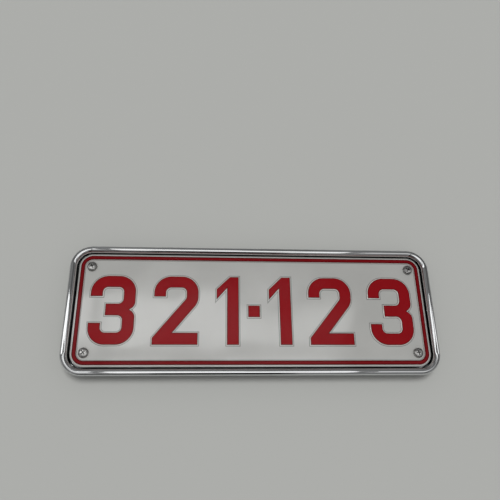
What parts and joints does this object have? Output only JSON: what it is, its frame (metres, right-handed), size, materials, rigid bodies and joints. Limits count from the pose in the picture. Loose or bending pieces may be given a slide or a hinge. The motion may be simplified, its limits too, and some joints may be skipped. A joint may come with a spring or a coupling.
{
  "type": "license plate holder",
  "caption": "Shallow chromed tray with a rolled rim and corner brackets, holding a number plate by screws into clip nuts.",
  "frame": {"origin": "centre of the rim's bottom edge, which the holder lies on with its face up", "axes": "+X along the plate to its right, +Y to the plate's top edge, +Z out of the plate's face"},
  "size_m": [0.3574, 0.126, 0.0175],
  "materials": {
    "rim_chrome": "mirror-bright chrome plate on steel sheet",
    "panel_steel": "satin rolled steel sheet",
    "bracket_steel": "bright zinc-plated steel strip",
    "clip_steel": "zinc-plated spring steel",
    "plate_white": "satin white enamel film on embossed aluminium",
    "plate_red": "satin red enamel on the raised border and numerals",
    "screw_steel": "bright zinc-plated pan-head screw"
  },
  "bodies": {
    "holder": {"rim_frame": "rim_chrome", "back_panel": "panel_steel", "corner_bracket_upper_left": "bracket_steel", "corner_bracket_upper_right": "bracket_steel", "corner_bracket_lower_left": "bracket_steel", "corner_bracket_lower_right": "bracket_steel", "clip_nut_upper_left": "clip_steel", "clip_nut_upper_right": "clip_steel", "clip_nut_lower_left": "clip_steel", "clip_nut_lower_right": "clip_steel"},
    "plate": {"number_plate": "plate_white"},
    "screw_upper_left": {"plate_screw_upper_left": "screw_steel"},
    "screw_upper_right": {"plate_screw_upper_right": "screw_steel"},
    "screw_lower_left": {"plate_screw_lower_left": "screw_steel"},
    "screw_lower_right": {"plate_screw_lower_right": "screw_steel"}
  },
  "joints": [
    {"name": "plate_lift", "type": "slide", "parent": "holder", "child": "plate", "axis": [0, 0, 1], "range_m": [0, 0.05]},
    {"name": "screw_turn_upper_left", "type": "hinge", "parent": "plate", "child": "screw_upper_left", "pos_m": [-0.1575, 0.042, 0.0137], "axis": [0, 0, 1], "continuous": true},
    {"name": "screw_turn_upper_right", "type": "hinge", "parent": "plate", "child": "screw_upper_right", "pos_m": [0.1575, 0.042, 0.0137], "axis": [0, 0, 1], "continuous": true},
    {"name": "screw_turn_lower_left", "type": "hinge", "parent": "plate", "child": "screw_lower_left", "pos_m": [-0.1575, -0.042, 0.0137], "axis": [0, 0, 1], "continuous": true},
    {"name": "screw_turn_lower_right", "type": "hinge", "parent": "plate", "child": "screw_lower_right", "pos_m": [0.1575, -0.042, 0.0137], "axis": [0, 0, 1], "continuous": true}
  ]
}
